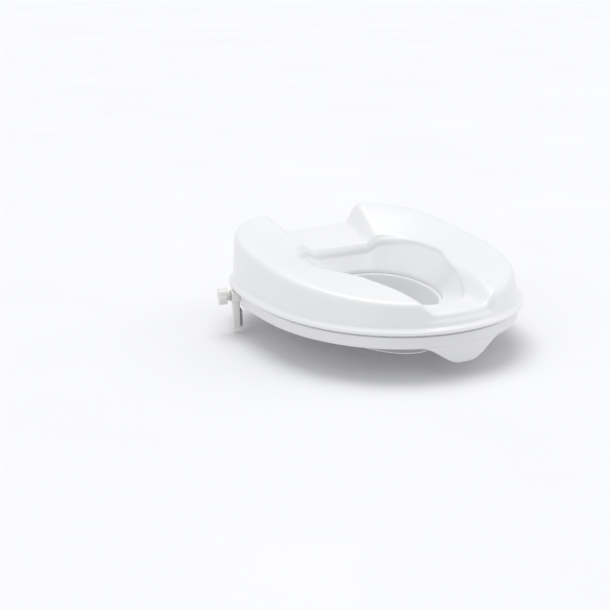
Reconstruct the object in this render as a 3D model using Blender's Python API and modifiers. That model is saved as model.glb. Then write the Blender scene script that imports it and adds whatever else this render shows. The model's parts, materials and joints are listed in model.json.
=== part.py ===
"""Raised toilet seat: a hollow moulded seat on a base ring, with two screw clamps.

Metres, +Z up. X is across the seat and -Y is its front. The origin is under the middle
of the seat, on the plane that the splash collar stands on.
"""
from math import atan2, cos, pi, radians, sin

import bmesh
import bpy
from mathutils import Matrix, Vector

MM = 0.001

# Seat
FLANGE_Z = 60 * MM          # underside of the seat's flange above the collar's foot
HALF_WIDTH = 180 * MM       # half the width over the flange
HALF_LENGTH = 215 * MM      # half the length over the flange
WAIST_Y = 4 * MM            # where the outline is widest
FRONT_POWER = 2.1           # superellipse powers of the outline: rounder in front,
REAR_POWER = 2.9            # squarer behind
WALL = 3 * MM               # moulded wall of the seat and of the base ring
SEAT_STEPS = 64             # facets round the seat
RECESS_FRONT_Z = 22 * MM    # floor of the front recess above the flange's underside
RECESS_REAR_Z = 33 * MM     # floor of the rear recess where it meets the aperture
RECESS_REAR_RISE = 13 * MM  # what that floor climbs to its back edge
RECESS_REAR_DISH = 4 * MM   # what it climbs towards the horns
APERTURE_RIM_Z = 45 * MM    # seat surface round the aperture, above the flange's underside
APERTURE_Y = 10 * MM        # where the aperture is widest
APERTURE_HALF = 96 * MM
APERTURE_FRONT = 168 * MM
APERTURE_REAR = 96 * MM

# Splash collar and the mouth at the foot of the funnel
MOUTH_HALF = 70 * MM
MOUTH_FRONT = 118 * MM
MOUTH_REAR = 84 * MM
FUNNEL_FOOT = 4 * MM        # upright stretch at the foot of the funnel
COLLAR_WALL = 2.5 * MM
COLLAR_TOP = -1.5 * MM      # top of the collar's flange, from the seat flange's underside
COLLAR_DRAFT = 3 * MM       # how far the collar closes in on its way down
COLLAR_LEDGE = 5 * MM       # width of the ledge inside the funnel's foot
GAP = 0.3 * MM              # between pieces that touch

# Base ring
SKIRT_INSET = 8 * MM        # skirt face from the flange's edge
BASE_DEPTH = 20 * MM        # underside of the base ring below the flange's underside
SKIRT_STEPBACK = 14 * MM    # how much further in the skirt stands behind the clamps
BASE_STEPS = 56
LIP_DEPTH = 43 * MM         # foot of the front lip below the flange's underside
LIP_HALF_FLAT = 8 * MM
LIP_HALF_WIDTH = 60 * MM

# Pads and screws
PAD_SIZE = (40 * MM, 16 * MM, 2.7 * MM)
PAD_INSET = 40 * MM
PAD_ANGLES = {"rear_right": 46, "rear_left": 134, "front_left": 226, "front_right": 314}
SCREW_ANGLES = (10, 70, 110, 170, 205, 250, 290, 335)
SCREW_INSET = 45 * MM
SCREW_RADIUS = 1.75 * MM
SCREW_HEAD_RADIUS = 3.6 * MM
SCREW_LENGTH = 27 * MM
GUIDE_SCREW_LENGTH = 12 * MM
BOSS_RADIUS = 4 * MM

# Clamps, each in a frame of its own: u outward along the spindle from where it crosses the
# skirt, v across it, w up from the spindle's axis
CLAMP_PLACE = (166 * MM, 96 * MM)   # x and y of that crossing on the right
CLAMP_ANGLE = radians(18)           # how far the spindle turns from X towards the rear
SPINDLE_Z = -8 * MM                 # spindle axis from the seat flange's underside
THREAD_RADIUS = 4 * MM
SPINDLE_U = (-54 * MM, 26 * MM)
HEAD_U = (-2 * MM, 11 * MM)
HEAD_WIDTH = 20 * MM
HEAD_W = (-6.5 * MM, 6.5 * MM)
POST_U = (-0.4 * MM, 9.4 * MM)
POST_WIDTH = 10 * MM
POST_FOOT = -46.5 * MM
FOOT_HEIGHT = 4 * MM
FOOT_REACH = 3.5 * MM
JAW_PAD_SIZE = (2.7 * MM, 12 * MM, 22 * MM)
NOTCH_U = (-17 * MM, 20 * MM)
NOTCH_WIDTH = 23 * MM
GUIDE_U = (-40 * MM, -19 * MM)
GUIDE_WIDTH = 26 * MM
GUIDE_SCREW_SPREAD = 9 * MM
GUIDE_SCREW_U = -24.5 * MM
NUT_ACROSS = 13 * MM
NUT_LENGTH = 6.5 * MM
WASHER_RADIUS = 8 * MM
WASHER_LENGTH = 1 * MM
CLIP_RADIUS = 6.2 * MM
CLIP_LENGTH = 1.2 * MM
KNOB_U = (12.6 * MM, 28.6 * MM)
KNOB_NECK = 4 * MM
KNOB_NECK_RADIUS = 6.2 * MM
KNOB_RADIUS = 12 * MM
KNOB_LOBES = 8
KNOB_LOBE_DEPTH = 1.6 * MM
KNOB_BORE_END = 26.3 * MM

SIDES = {"left": -1, "right": 1}

WHITE = (0.86, 0.86, 0.85, 1)
SKIRT_WHITE = (0.78, 0.78, 0.79, 1)
IVORY = (0.80, 0.785, 0.765, 1)
RUBBER = (0.42, 0.42, 0.43, 1)
JAW_GREY = (0.36, 0.36, 0.37, 1)
NYLON = (0.72, 0.70, 0.64, 1)
STEEL = (0.62, 0.62, 0.63, 1)


# ---------------------------------------------------------------- scene and materials

def clear_scene():
    for old in list(bpy.data.objects):
        bpy.data.objects.remove(old, do_unlink=True)


def collection(name):
    group = bpy.data.collections.new(name)
    bpy.context.scene.collection.children.link(group)
    return group


def material(name, colour, roughness, metallic=0.0):
    made = bpy.data.materials.new(name)
    made.use_nodes = True
    shader = made.node_tree.nodes["Principled BSDF"]
    shader.inputs["Base Color"].default_value = colour
    shader.inputs["Roughness"].default_value = roughness
    shader.inputs["Metallic"].default_value = metallic
    made.diffuse_color = colour
    return made


def as_cutter(obj, group):
    """Keep a cutting shape out of the model."""
    PARTS.objects.unlink(obj)
    group.objects.link(obj)
    obj.hide_render = True
    obj.display_type = "WIRE"


# ---------------------------------------------------------------- modelling helpers

def mesh_object(name, mesh, mat=None, smooth=True):
    obj = bpy.data.objects.new(name, mesh)
    PARTS.objects.link(obj)
    if mat:
        mesh.materials.append(mat)
    if smooth:
        mesh.shade_smooth()
        mesh.set_sharp_from_angle(angle=radians(35))
    return obj


def box(name, low, high, mat=None, bevel=0.0):
    """A box between two corners."""
    bm = bmesh.new()
    bmesh.ops.create_cube(bm, size=1)
    size = [high[i] - low[i] for i in range(3)]
    middle = [(high[i] + low[i]) / 2 for i in range(3)]
    bmesh.ops.scale(bm, vec=size, verts=bm.verts)
    bmesh.ops.translate(bm, vec=middle, verts=bm.verts)
    mesh = bpy.data.meshes.new(name)
    bm.to_mesh(mesh)
    bm.free()
    obj = mesh_object(name, mesh, mat, smooth=False)
    if bevel:
        add_bevel(obj, bevel)
    return obj


def add_bevel(obj, width, segments=2):
    bevel = obj.modifiers.new("edges", "BEVEL")
    bevel.width = width
    bevel.segments = segments
    bevel.limit_method = "ANGLE"
    bevel.angle_limit = radians(40)


def rod(name, radius, start, end, centre, axis="Z", sides=16, mat=None):
    """A cylinder along X or Z between two positions on that axis."""
    bm = bmesh.new()
    bmesh.ops.create_cone(bm, cap_ends=True, segments=sides, radius1=radius,
                          radius2=radius, depth=end - start)
    if axis == "X":
        bmesh.ops.rotate(bm, matrix=Matrix.Rotation(pi / 2, 3, "Y"), verts=bm.verts)
        place = ((start + end) / 2, centre[0], centre[1])
    else:
        place = (centre[0], centre[1], (start + end) / 2)
    bmesh.ops.translate(bm, vec=place, verts=bm.verts)
    mesh = bpy.data.meshes.new(name)
    bm.to_mesh(mesh)
    bm.free()
    return mesh_object(name, mesh, mat)


def turned(name, profile, sides, mat=None):
    """A solid turned about Z from (radius, z) points that run from its foot to its top."""
    bm = bmesh.new()
    rings = []
    for radius, z in profile:
        if radius == 0:
            rings.append([bm.verts.new((0, 0, z))])
            continue
        turn = [2 * pi * i / sides for i in range(sides)]
        rings.append([bm.verts.new((radius * cos(a), radius * sin(a), z)) for a in turn])
    for lower, upper in zip(rings, rings[1:]):
        bridge(bm, lower, upper, sides)
    mesh = bpy.data.meshes.new(name)
    bm.to_mesh(mesh)
    bm.free()
    return mesh_object(name, mesh, mat)


def bridge(bm, lower, upper, sides):
    """Faces between two rings, either of which may be a single point."""
    for i in range(sides):
        j = (i + 1) % sides
        if len(lower) == 1:
            bm.faces.new((lower[0], upper[j], upper[i]))
        elif len(upper) == 1:
            bm.faces.new((lower[i], lower[j], upper[0]))
        else:
            bm.faces.new((lower[i], lower[j], upper[j], upper[i]))


def ring_surface(name, rings, mat, thickness):
    """An open surface through closed rings, thickened on its back."""
    bm = bmesh.new()
    rows = [[bm.verts.new(point) for point in ring] for ring in rings]
    for lower, upper in zip(rows, rows[1:]):
        bridge(bm, lower, upper, len(lower))
    mesh = bpy.data.meshes.new(name)
    bm.to_mesh(mesh)
    bm.free()
    obj = mesh_object(name, mesh, mat)
    solid = obj.modifiers.new("wall", "SOLIDIFY")
    solid.thickness = thickness
    solid.offset = -1
    solid.use_even_offset = True
    return obj


def combine(obj, others, operation):
    """Cut or join other shapes, which are then kept as cutters."""
    group = bpy.data.collections.new(f"{obj.name}_{operation.lower()}")
    CUTTERS.children.link(group)
    for other in others:
        as_cutter(other, group)
    boolean = obj.modifiers.new(group.name, "BOOLEAN")
    boolean.operation = operation
    boolean.solver = "EXACT"
    boolean.operand_type = "COLLECTION"
    boolean.collection = group


def smooth_step(value, low, high):
    u = min(max((value - low) / (high - low), 0), 1)
    return u * u * (3 - 2 * u)


def mix(a, b, share):
    return a + (b - a) * share


# ---------------------------------------------------------------- outlines in plan

def egg(angle, half, front, rear, powers, centre_y):
    """A superellipse with its own depth and power in front and behind."""
    c, s = cos(angle), sin(angle)
    depth = rear if s > 0 else front
    power = powers[1] if s > 0 else powers[0]
    reach = (abs(c) ** power + abs(s) ** power) ** (-1 / power)
    return half * c * reach, centre_y + depth * s * reach


def flange_outline(angle, inset):
    """The seat's plan outline, a given distance in from the flange's edge."""
    front = HALF_LENGTH + WAIST_Y - inset
    rear = HALF_LENGTH - WAIST_Y - inset
    powers = (FRONT_POWER, REAR_POWER + 30 * inset)
    return egg(angle, HALF_WIDTH - inset, front, rear, powers, WAIST_Y)


def aperture_outline(angle, grow=0.0):
    """The keyhole-shaped edge of the aperture in the seat's top."""
    x, y = egg(angle, APERTURE_HALF + grow, APERTURE_FRONT + grow, APERTURE_REAR + grow,
               (2.5, 2.7), APERTURE_Y)
    return x * (1 - 0.26 * smooth_step(-y, -15 * MM, 85 * MM)), y


def mouth_outline(angle, grow=0.0):
    """The oval mouth at the foot of the funnel, and the collar below it."""
    return egg(angle, MOUTH_HALF + grow, MOUTH_FRONT + grow, MOUTH_REAR + grow,
               (2.0, 2.3), WAIST_Y)


def angles(steps):
    return [2 * pi * i / steps for i in range(steps)]


def ring(outline, offset, z, steps):
    """A level ring, at a height from the seat flange's underside."""
    return [(*outline(a, offset), FLANGE_Z + z) for a in angles(steps)]


# ---------------------------------------------------------------- seat

def side_height(y):
    """The seat's top edge along its sides: it climbs to the rear horns."""
    return 53 * MM + 0.09 * y + 0.155 * max(y - 20 * MM, 0) ** 2


def share_between(value, low, high):
    return min(max((value - low) / (high - low), 0), 1)


def seat_height(x, y, inward):
    """Top of the seat, where inward runs from 0 at its outer edge to 1 at the aperture."""
    height = mix(side_height(y), APERTURE_RIM_Z, inward ** 1.5)
    edge = mix(80, 57, share_between(-y, 46 * MM, 178 * MM)) * MM
    front = (1 - smooth_step(abs(x), edge - 22 * MM, edge)) * smooth_step(-y, 45 * MM, 135 * MM)
    back = share_between(y, 85 * MM, 190 * MM)
    rear = 1 - smooth_step(abs(x), mix(36, 57, back) * MM, mix(62, 84, back) * MM)
    rear *= smooth_step(y, 50 * MM, 105 * MM)
    climb = min(max((y - 105 * MM) / (95 * MM), -0.5), 1)
    floor = RECESS_REAR_Z + RECESS_REAR_RISE * climb
    floor += RECESS_REAR_DISH * share_between(abs(x), 0, 68 * MM) ** 2
    height = mix(height, RECESS_FRONT_Z, front)
    return mix(height, floor, rear)


def flange_and_wall(angle):
    """Points up the outside of the seat, from the flange's edge to the seat's top."""
    points = []
    for inset, z in ((0, 0), (0, 3.2), (1.2, 4.8), (4, 5.4), (7, 5.6), (8.6, 7.4), (9.2, 11)):
        points.append((*flange_outline(angle, inset * MM), z * MM))
    for inset, drop in ((11.3, None), (13.5, 7), (15, 3.2), (18, 0.8), (24, 0)):
        x, y = flange_outline(angle, inset * MM)
        top = seat_height(x, y, 0)
        z = mix(11 * MM, top - 7 * MM, 0.5) if drop is None else top - drop * MM
        points.append((x, y, z))
    return points


def seat_top_and_funnel(angle):
    """Points over the seat's top, round the aperture's edge and down the funnel."""
    points = []
    outer = flange_outline(angle, 24 * MM)
    inner = aperture_outline(angle, 5 * MM)
    for inward in (0.25, 0.5, 0.75, 0.97):
        x = mix(outer[0], inner[0], inward)
        y = mix(outer[1], inner[1], inward)
        points.append((x, y, seat_height(x, y, inward)))
    for grow, drop in ((1.2, 1.6), (0, 5)):
        x, y = aperture_outline(angle, grow * MM)
        points.append((x, y, seat_height(x, y, 1) - drop * MM))
    x, y, z = points[-1]
    foot_z = COLLAR_TOP + GAP
    bend_z = foot_z + FUNNEL_FOOT
    foot = mouth_outline(angle)
    for share in (0.35, 0.7, 1):
        points.append((mix(x, foot[0], share), mix(y, foot[1], share), mix(z, bend_z, share)))
    points.append((*foot, foot_z))
    return points


def screw_places():
    return [flange_outline(radians(degrees), SCREW_INSET) for degrees in SCREW_ANGLES]


def inward_share(x, y):
    """How far a point lies from the seat's outer edge (0) to the aperture (1)."""
    angle = atan2((y - WAIST_Y) / HALF_LENGTH, x / HALF_WIDTH)
    outer = flange_outline(angle, 24 * MM)
    inner = aperture_outline(angle, 5 * MM)
    span = ((outer[0] - inner[0]) ** 2 + (outer[1] - inner[1]) ** 2) ** 0.5
    reach = ((outer[0] - x) ** 2 + (outer[1] - y) ** 2) ** 0.5
    return min(reach / span, 1)


def seat_shell():
    """The hollow top moulding, with a boss over each base screw."""
    sections = [flange_and_wall(a) + seat_top_and_funnel(a) for a in angles(SEAT_STEPS)]
    rings = [[(p[0], p[1], p[2] + FLANGE_Z) for p in row] for row in zip(*sections)]
    seat = ring_surface("seat_shell", rings, material("seat_white", WHITE, 0.32), WALL)
    boss_foot = FLANGE_Z - BASE_DEPTH + WALL + GAP
    tip = FLANGE_Z - BASE_DEPTH + SCREW_LENGTH + 2 * MM
    bosses = []
    bores = []
    for i, (x, y) in enumerate(screw_places(), 1):
        top = FLANGE_Z + seat_height(x, y, inward_share(x, y)) - 0.55 * WALL
        bosses.append(rod(f"boss_{i}", BOSS_RADIUS, boss_foot, top, (x, y), sides=12))
        bores.append(rod(f"boss_bore_{i}", SCREW_RADIUS + GAP, boss_foot - 5 * MM, tip,
                         (x, y), sides=8))
    combine(seat, bosses, "UNION")
    combine(seat, bores, "DIFFERENCE")
    return seat


def splash_collar():
    """The oval collar that hangs into the bowl, held by its flange under the funnel."""
    foot = -FLANGE_Z
    rows = ((4 * MM, COLLAR_TOP), (-COLLAR_LEDGE + 1.2 * MM, COLLAR_TOP),
            (-COLLAR_LEDGE, COLLAR_TOP - 1.4 * MM), (-COLLAR_LEDGE - COLLAR_DRAFT / 2, foot / 2),
            (-COLLAR_LEDGE - COLLAR_DRAFT, foot + 5 * MM), (-COLLAR_LEDGE - COLLAR_DRAFT, foot))
    rings = [ring(mouth_outline, grow, z, BASE_STEPS) for grow, z in rows]
    return ring_surface("splash_collar", rings, material("collar_white", WHITE, 0.35),
                        COLLAR_WALL)


# ---------------------------------------------------------------- base ring

def skirt_outline(angle, step):
    """The skirt's face, which stands further in behind the clamps."""
    x, y = flange_outline(angle, SKIRT_INSET)
    behind = smooth_step(y, CLAMP_PLACE[1] + 14 * MM, CLAMP_PLACE[1] + 26 * MM)
    return flange_outline(angle, SKIRT_INSET + step * behind)


def base_ring():
    """The bottom moulding: skirt, underside and inner wall, with the front lip."""
    rows = ((skirt_outline, 0, 1.6 * MM), (skirt_outline, 0, -3 * MM),
            (skirt_outline, SKIRT_STEPBACK, -4.5 * MM),
            (skirt_outline, SKIRT_STEPBACK, -BASE_DEPTH),
            (mouth_outline, -1.7 * MM, -BASE_DEPTH), (mouth_outline, -1.7 * MM, -4.4 * MM))
    rings = [ring(outline, offset, z, BASE_STEPS) for outline, offset, z in rows]
    rings.reverse()
    base = ring_surface("base_ring", rings, material("base_white", SKIRT_WHITE, 0.4), WALL)
    combine(base, [front_lip()], "UNION")
    cuts = []
    for i, (x, y) in enumerate(screw_places(), 1):
        cuts.append(countersink(f"screw_hole_{i}", x, y))
    for side, sign in SIDES.items():
        notch = clamp_box(f"notch_{side}", NOTCH_U, NOTCH_WIDTH / 2,
                          (above_axis(-30 * MM), above_axis(-0.5 * MM)))
        cuts.append(put(notch, sign))
        for i, (x, y) in enumerate(guide_screw_places(sign), 1):
            cuts.append(countersink(f"guide_hole_{side}_{i}", x, y))
    combine(base, cuts, "DIFFERENCE")
    return base


def front_lip():
    """The lip that drops over the front of the bowl, sloping up at both ends."""
    steps = 18
    bm = bmesh.new()
    sections = []
    for i in range(steps + 1):
        x = mix(-LIP_HALF_WIDTH, LIP_HALF_WIDTH, i / steps)
        slope = smooth_step(abs(x), LIP_HALF_FLAT, LIP_HALF_WIDTH)
        foot = FLANGE_Z + mix(-LIP_DEPTH, -BASE_DEPTH + 0.4 * MM, slope)
        top = FLANGE_Z - BASE_DEPTH + 1.5 * MM
        face = front_y(x, SKIRT_INSET - GAP)
        back = front_y(x, SKIRT_INSET - GAP + WALL)
        corners = ((x, face, top), (x, face, foot), (x, back, foot), (x, back, top))
        sections.append([bm.verts.new(corner) for corner in corners])
    for one, two in zip(sections, sections[1:]):
        bridge(bm, one, two, 4)
    bm.faces.new(reversed(sections[0]))
    bm.faces.new(sections[-1])
    bmesh.ops.recalc_face_normals(bm, faces=bm.faces)
    mesh = bpy.data.meshes.new("front_lip")
    bm.to_mesh(mesh)
    bm.free()
    return mesh_object("front_lip", mesh)


def front_y(x, inset):
    """The front of the outline at a given x."""
    share = abs(x) / (HALF_WIDTH - inset)
    depth = (1 - share ** FRONT_POWER) ** (1 / FRONT_POWER)
    return WAIST_Y - (HALF_LENGTH + WAIST_Y - inset) * depth


def countersink(name, x, y):
    """A cutter for a countersunk hole up through the base ring's underside."""
    bottom = FLANGE_Z - BASE_DEPTH
    head = SCREW_HEAD_RADIUS + GAP
    shank = SCREW_RADIUS + GAP
    profile = ((0, -2 * MM), (head, -2 * MM), (head, 0.3 * MM), (shank, 2.3 * MM),
               (shank, 6 * MM), (0, 6 * MM))
    hole = turned(name, profile, 12)
    hole.location = (x, y, bottom)
    return hole


def countersunk_screw(name, x, y, length, mat):
    """A flat-headed self-tapping screw, standing head down."""
    bottom = FLANGE_Z - BASE_DEPTH
    profile = ((0, 0.1 * MM), (SCREW_HEAD_RADIUS, 0.1 * MM), (SCREW_HEAD_RADIUS, 0.4 * MM),
               (SCREW_RADIUS, 2.2 * MM), (SCREW_RADIUS, length - 2 * MM), (0, length))
    screw = turned(name, profile, 10, mat)
    screw.location = (x, y, bottom)
    return screw


def screws():
    steel = material("zinc_steel", STEEL, 0.35, 1.0)
    for i, (x, y) in enumerate(screw_places(), 1):
        countersunk_screw(f"base_screw_{i}", x, y, SCREW_LENGTH, steel)
    for side, sign in SIDES.items():
        for i, (x, y) in enumerate(guide_screw_places(sign), 1):
            name = f"guide_screw_{side}_{i}"
            countersunk_screw(name, x, y, GUIDE_SCREW_LENGTH, steel)


def anti_slip_pads():
    """Rubber pads under the base ring, which bear on the rim of the bowl."""
    grey = material("pad_rubber", RUBBER, 0.8)
    length, width, height = PAD_SIZE
    top = FLANGE_Z - BASE_DEPTH - GAP
    for place, degrees in PAD_ANGLES.items():
        x, y = flange_outline(radians(degrees), PAD_INSET)
        ahead = flange_outline(radians(degrees + 3), PAD_INSET)
        pad = box(f"pad_{place}", (-length / 2, -width / 2, -height),
                  (length / 2, width / 2, 0), grey, bevel=1 * MM)
        pad.location = (x, y, top)
        pad.rotation_euler.z = atan2(ahead[1] - y, ahead[0] - x)


# ---------------------------------------------------------------- clamps

def clamp_frame(sign):
    """Where a clamp's own frame stands: u points outward on both sides."""
    angle = CLAMP_ANGLE if sign > 0 else pi - CLAMP_ANGLE
    place = Matrix.Translation((sign * CLAMP_PLACE[0], CLAMP_PLACE[1], FLANGE_Z + SPINDLE_Z))
    return place @ Matrix.Rotation(angle, 4, "Z")


def put(obj, sign, parent=None):
    """Stand a piece in its clamp's frame, so that its origin is on the spindle's axis."""
    if parent:
        obj.parent = parent
    else:
        obj.matrix_world = clamp_frame(sign)
    return obj


def above_axis(z):
    """A height from the seat flange's underside, as a height from the spindle's axis."""
    return z - SPINDLE_Z


def clamp_box(name, u_range, half_width, w_range, mat=None, bevel=0.0):
    low = (u_range[0], -half_width, w_range[0])
    high = (u_range[1], half_width, w_range[1])
    return box(name, low, high, mat, bevel)


def clamp_rod(name, radius, u_range, sides=16, mat=None):
    return rod(name, radius, *u_range, (0, 0), "X", sides, mat)


def axis_empty(name, sign):
    empty = bpy.data.objects.new(name, None)
    empty.matrix_world = clamp_frame(sign)
    PARTS.objects.link(empty)
    return empty


def clamp_arm(side, mat):
    """The sliding arm: a head on the spindle, and a post with a hooked foot."""
    arm = clamp_box(f"clamp_arm_{side}", HEAD_U, HEAD_WIDTH / 2, HEAD_W, mat, bevel=0.8 * MM)
    post = clamp_box(f"arm_post_{side}", POST_U, POST_WIDTH / 2,
                     (POST_FOOT + FOOT_HEIGHT / 2, HEAD_W[0] + 2 * MM))
    foot_u = (POST_U[0] - FOOT_REACH, POST_U[1] + 0.6 * MM)
    foot = clamp_box(f"arm_foot_{side}", foot_u, POST_WIDTH / 2 + 1 * MM,
                     (POST_FOOT, POST_FOOT + FOOT_HEIGHT), bevel=0.8 * MM)
    bore = clamp_rod(f"arm_bore_{side}", THREAD_RADIUS + GAP,
                     (HEAD_U[0] - 5 * MM, HEAD_U[1] + 5 * MM))
    combine(arm, [post, foot], "UNION")
    combine(arm, [bore], "DIFFERENCE")
    return arm, [post, foot, bore]


def jaw_pad(side, mat):
    """The rubber pad on the inner face of the arm's post."""
    depth, width, height = JAW_PAD_SIZE
    outer = POST_U[0] - GAP
    low = POST_FOOT + FOOT_HEIGHT + 1 * MM
    pad = clamp_box(f"jaw_pad_{side}", (outer - depth, outer), width / 2, (low, low + height),
                    mat, bevel=0.6 * MM)
    return pad, []


def guide_block(side, mat):
    """The block inside the base ring that holds the spindle's nut."""
    w_range = (above_axis(-BASE_DEPTH + WALL + GAP), above_axis(-0.8 * MM))
    block = clamp_box(f"guide_block_{side}", GUIDE_U, GUIDE_WIDTH / 2, w_range, mat)
    start, end = GUIDE_U
    bore = clamp_rod(f"guide_bore_{side}", THREAD_RADIUS + GAP, (start - 5 * MM, end + 5 * MM))
    pocket = clamp_rod(f"guide_pocket_{side}", (NUT_ACROSS / 2 + GAP) / cos(pi / 6),
                       (start - 5 * MM, start + NUT_LENGTH + 2 * GAP), sides=6)
    cuts = [bore, pocket]
    foot = above_axis(-BASE_DEPTH)
    for i, v in enumerate((-GUIDE_SCREW_SPREAD, GUIDE_SCREW_SPREAD), 1):
        cuts.append(rod(f"guide_screw_bore_{side}_{i}", SCREW_RADIUS + GAP, foot,
                        foot + GUIDE_SCREW_LENGTH + 1 * MM, (GUIDE_SCREW_U, v), sides=8))
    combine(block, cuts, "DIFFERENCE")
    return block, cuts


def guide_screw_places(sign):
    places = []
    for v in (-GUIDE_SCREW_SPREAD, GUIDE_SCREW_SPREAD):
        place = clamp_frame(sign) @ Vector((GUIDE_SCREW_U, v, 0))
        places.append((place.x, place.y))
    return places


def captive_nut(side, mat):
    start = GUIDE_U[0] + GAP
    end = start + NUT_LENGTH
    nut = clamp_rod(f"captive_nut_{side}", NUT_ACROSS / 2 / cos(pi / 6), (start, end), 6, mat)
    bore = clamp_rod(f"nut_bore_{side}", THREAD_RADIUS + GAP, (start - 5 * MM, end + 5 * MM))
    combine(nut, [bore], "DIFFERENCE")
    return nut, [bore]


def ring_on_spindle(name, radius, u_range, mat):
    """A washer or a clip on the spindle."""
    start, end = u_range
    disc = clamp_rod(name, radius, u_range, 16, mat)
    bore = clamp_rod(f"{name}_bore", THREAD_RADIUS + GAP, (start - 1 * MM, end + 1 * MM))
    combine(disc, [bore], "DIFFERENCE")
    return disc, [bore]


def thrust_washer(side, mat):
    start = HEAD_U[1] + GAP
    return ring_on_spindle(f"thrust_washer_{side}", WASHER_RADIUS,
                           (start, start + WASHER_LENGTH), mat)


def retaining_clip(side, mat):
    end = HEAD_U[0] - GAP
    return ring_on_spindle(f"retaining_clip_{side}", CLIP_RADIUS, (end - CLIP_LENGTH, end), mat)


def spindle(side, mat):
    return clamp_rod(f"spindle_{side}", THREAD_RADIUS, SPINDLE_U, 16, mat), []


def knob(side, mat):
    """A fluted hand knob with a short neck and a blind bore for the spindle."""
    steps = KNOB_LOBES * 4
    start, end = KNOB_U
    rim = KNOB_RADIUS - KNOB_LOBE_DEPTH / 2
    face = start + KNOB_NECK
    rows = ((start, KNOB_NECK_RADIUS), (face, KNOB_NECK_RADIUS), (face + 0.1 * MM, rim - 1 * MM),
            (face + 1.1 * MM, rim), (end - 1.4 * MM, rim), (end, rim - 1.4 * MM))
    bm = bmesh.new()
    rings = []
    for u, radius in rows:
        wave = KNOB_LOBE_DEPTH / 2 if radius > KNOB_NECK_RADIUS else 0
        ring_points = []
        for a in angles(steps):
            r = radius + wave * cos(KNOB_LOBES * a)
            ring_points.append(bm.verts.new((u, r * cos(a), r * sin(a))))
        rings.append(ring_points)
    for one, two in zip(rings, rings[1:]):
        bridge(bm, one, two, steps)
    bm.faces.new(rings[0])
    bm.faces.new(rings[-1])
    bmesh.ops.recalc_face_normals(bm, faces=bm.faces)
    mesh = bpy.data.meshes.new(f"knob_{side}")
    bm.to_mesh(mesh)
    bm.free()
    obj = mesh_object(f"knob_{side}", mesh, mat)
    bore = clamp_rod(f"knob_bore_{side}", THREAD_RADIUS + GAP, (start - 5 * MM, KNOB_BORE_END))
    combine(obj, [bore], "DIFFERENCE")
    return obj, [bore]


def clamp(side, sign, mats):
    """Everything on one side. Arm and spindle hang on empties on the spindle's axis."""
    slide = axis_empty(f"slide_axis_{side}", sign)
    spin = axis_empty(f"spin_axis_{side}", sign)
    pieces = (
        (guide_block, "nylon", None), (captive_nut, "steel", None),
        (clamp_arm, "ivory", slide), (jaw_pad, "rubber", slide),
        (knob, "ivory", spin), (spindle, "steel", spin),
        (thrust_washer, "nylon", spin), (retaining_clip, "steel", spin),
    )
    for make, mat, parent in pieces:
        piece, cutters = make(side, mats[mat])
        for obj in (piece, *cutters):
            put(obj, sign, parent)


def clamps():
    mats = {
        "ivory": material("clamp_ivory", IVORY, 0.45),
        "nylon": material("nylon", NYLON, 0.5),
        "steel": material("spindle_steel", STEEL, 0.3, 1.0),
        "rubber": material("jaw_rubber", JAW_GREY, 0.85),
    }
    for side, sign in SIDES.items():
        clamp(side, sign, mats)


clear_scene()
PARTS = collection("raised_toilet_seat")
CUTTERS = collection("cutters")
seat_shell()
splash_collar()
base_ring()
anti_slip_pads()
screws()
clamps()
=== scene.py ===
"""Looks of the raised toilet seat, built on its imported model."""
import json
from math import atan2, cos, pi, radians, sin

import bmesh
import bpy
from mathutils import Matrix, Vector


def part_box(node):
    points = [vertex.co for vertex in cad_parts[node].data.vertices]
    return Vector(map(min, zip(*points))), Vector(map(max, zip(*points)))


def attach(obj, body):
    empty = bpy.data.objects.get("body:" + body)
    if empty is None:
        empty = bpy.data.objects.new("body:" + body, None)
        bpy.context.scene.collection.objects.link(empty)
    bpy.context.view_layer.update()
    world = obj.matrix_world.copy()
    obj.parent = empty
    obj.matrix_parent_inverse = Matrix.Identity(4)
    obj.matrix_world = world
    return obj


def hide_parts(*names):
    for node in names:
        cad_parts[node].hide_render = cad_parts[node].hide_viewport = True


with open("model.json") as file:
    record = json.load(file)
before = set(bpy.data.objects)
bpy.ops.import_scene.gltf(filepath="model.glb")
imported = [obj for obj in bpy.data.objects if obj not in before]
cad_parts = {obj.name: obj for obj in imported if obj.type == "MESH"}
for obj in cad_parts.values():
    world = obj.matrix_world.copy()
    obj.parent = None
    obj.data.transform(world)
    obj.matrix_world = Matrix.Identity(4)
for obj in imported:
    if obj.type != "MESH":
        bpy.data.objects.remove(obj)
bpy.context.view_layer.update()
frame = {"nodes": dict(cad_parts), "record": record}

MM = 0.001
SEAT_STEPS = 240                    # facets round the seat, the collar and the base ring
SIDES = ("left", "right")
JOINTS = {j["name"]: j for j in frame["record"]["behaviour"]["joints"]}

# Seat, with heights from the underside of its flange
SPINDLE_Z = -8 * MM
FLANGE_Z = JOINTS["right_knob_turn"]["pos_m"][2] - SPINDLE_Z
HALF_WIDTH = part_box("seat_shell")[1][0]
HALF_LENGTH = (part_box("seat_shell")[1][1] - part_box("seat_shell")[0][1]) / 2
WAIST_Y = 4 * MM                    # where the outline is widest
FRONT_POWER = 2.1                   # superellipse powers of the outline: rounder in front,
REAR_POWER = 2.9                    # squarer behind,
REAR_SQUARING = 30                  # and squarer still further in, per metre
WALL = 3 * MM
WALL_FOOT_Z = 11 * MM               # where the outer wall rises from the flange's fillet
SHOULDER = 9 * MM                   # height of the rounded shoulder under the seat's top
TOP_INSET = 24 * MM                 # where the top begins, from the flange's edge
SIDE_Z = 53 * MM                    # height of the sides at the middle
SIDE_SLOPE = 0.09                   # how they climb backwards,
HORN_CURVE = 0.155                  # and curve up into the horns
HORN_Y = 20 * MM

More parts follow.
